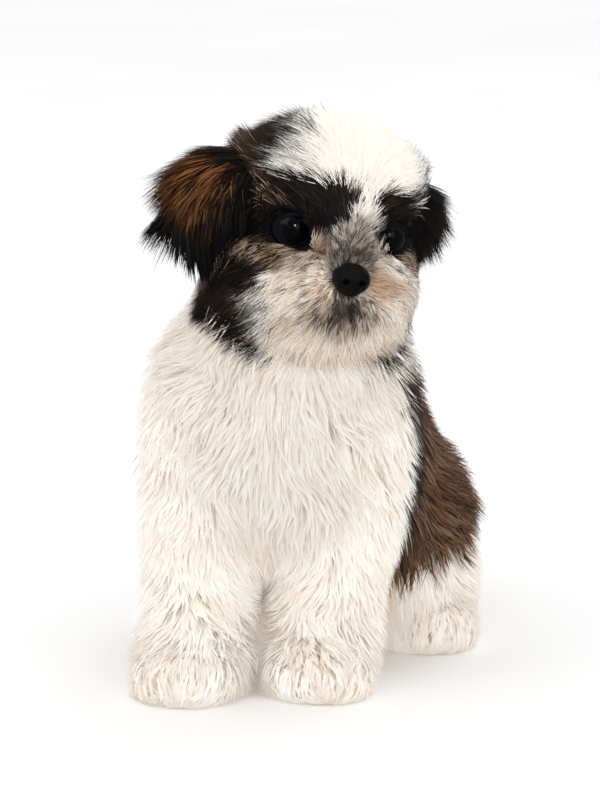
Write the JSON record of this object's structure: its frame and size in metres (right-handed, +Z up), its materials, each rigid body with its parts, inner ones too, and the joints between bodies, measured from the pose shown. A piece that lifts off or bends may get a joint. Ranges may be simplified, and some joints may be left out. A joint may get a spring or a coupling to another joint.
{
  "type": "shih tzu puppy",
  "caption": "Life-size still model of a sitting shih tzu puppy with a white blaze, dark face and brown back, resting on its paws, rump and tail.",
  "frame": {"origin": "on the floor, below the middle of the whole model's box", "axes": "+Z up, +X to the puppy's own left, +Y towards its back, so that it looks along -Y"},
  "size_m": [0.1334, 0.2258, 0.2372],
  "materials": {
    "fur_white": "soft cream white puppy coat, matt with a faint sheen",
    "fur_head": "white blaze over black-brown face coat, matt",
    "fur_brown": "brown coat with black shading, matt",
    "fur_dark": "dark coat with tan strands on the ears, matt",
    "nose_leather": "black, finely pebbled, slightly moist",
    "eye": "very dark, wet gloss"
  },
  "bodies": {
    "root": {"nose": "nose_leather", "eye_left": "eye", "eye_right": "eye", "muzzle": "fur_white", "jaw": "fur_white", "head": "fur_head", "ear_left": "fur_dark", "ear_right": "fur_dark", "neck": "fur_white", "forepaw_left": "fur_white", "forepaw_right": "fur_white", "foreleg_left": "fur_white", "foreleg_right": "fur_white", "hindpaw_left": "fur_white", "hindpaw_right": "fur_white", "hindleg_left": "fur_white", "hindleg_right": "fur_white", "torso": "fur_brown", "tail": "fur_brown"}
  },
  "joints": []
}
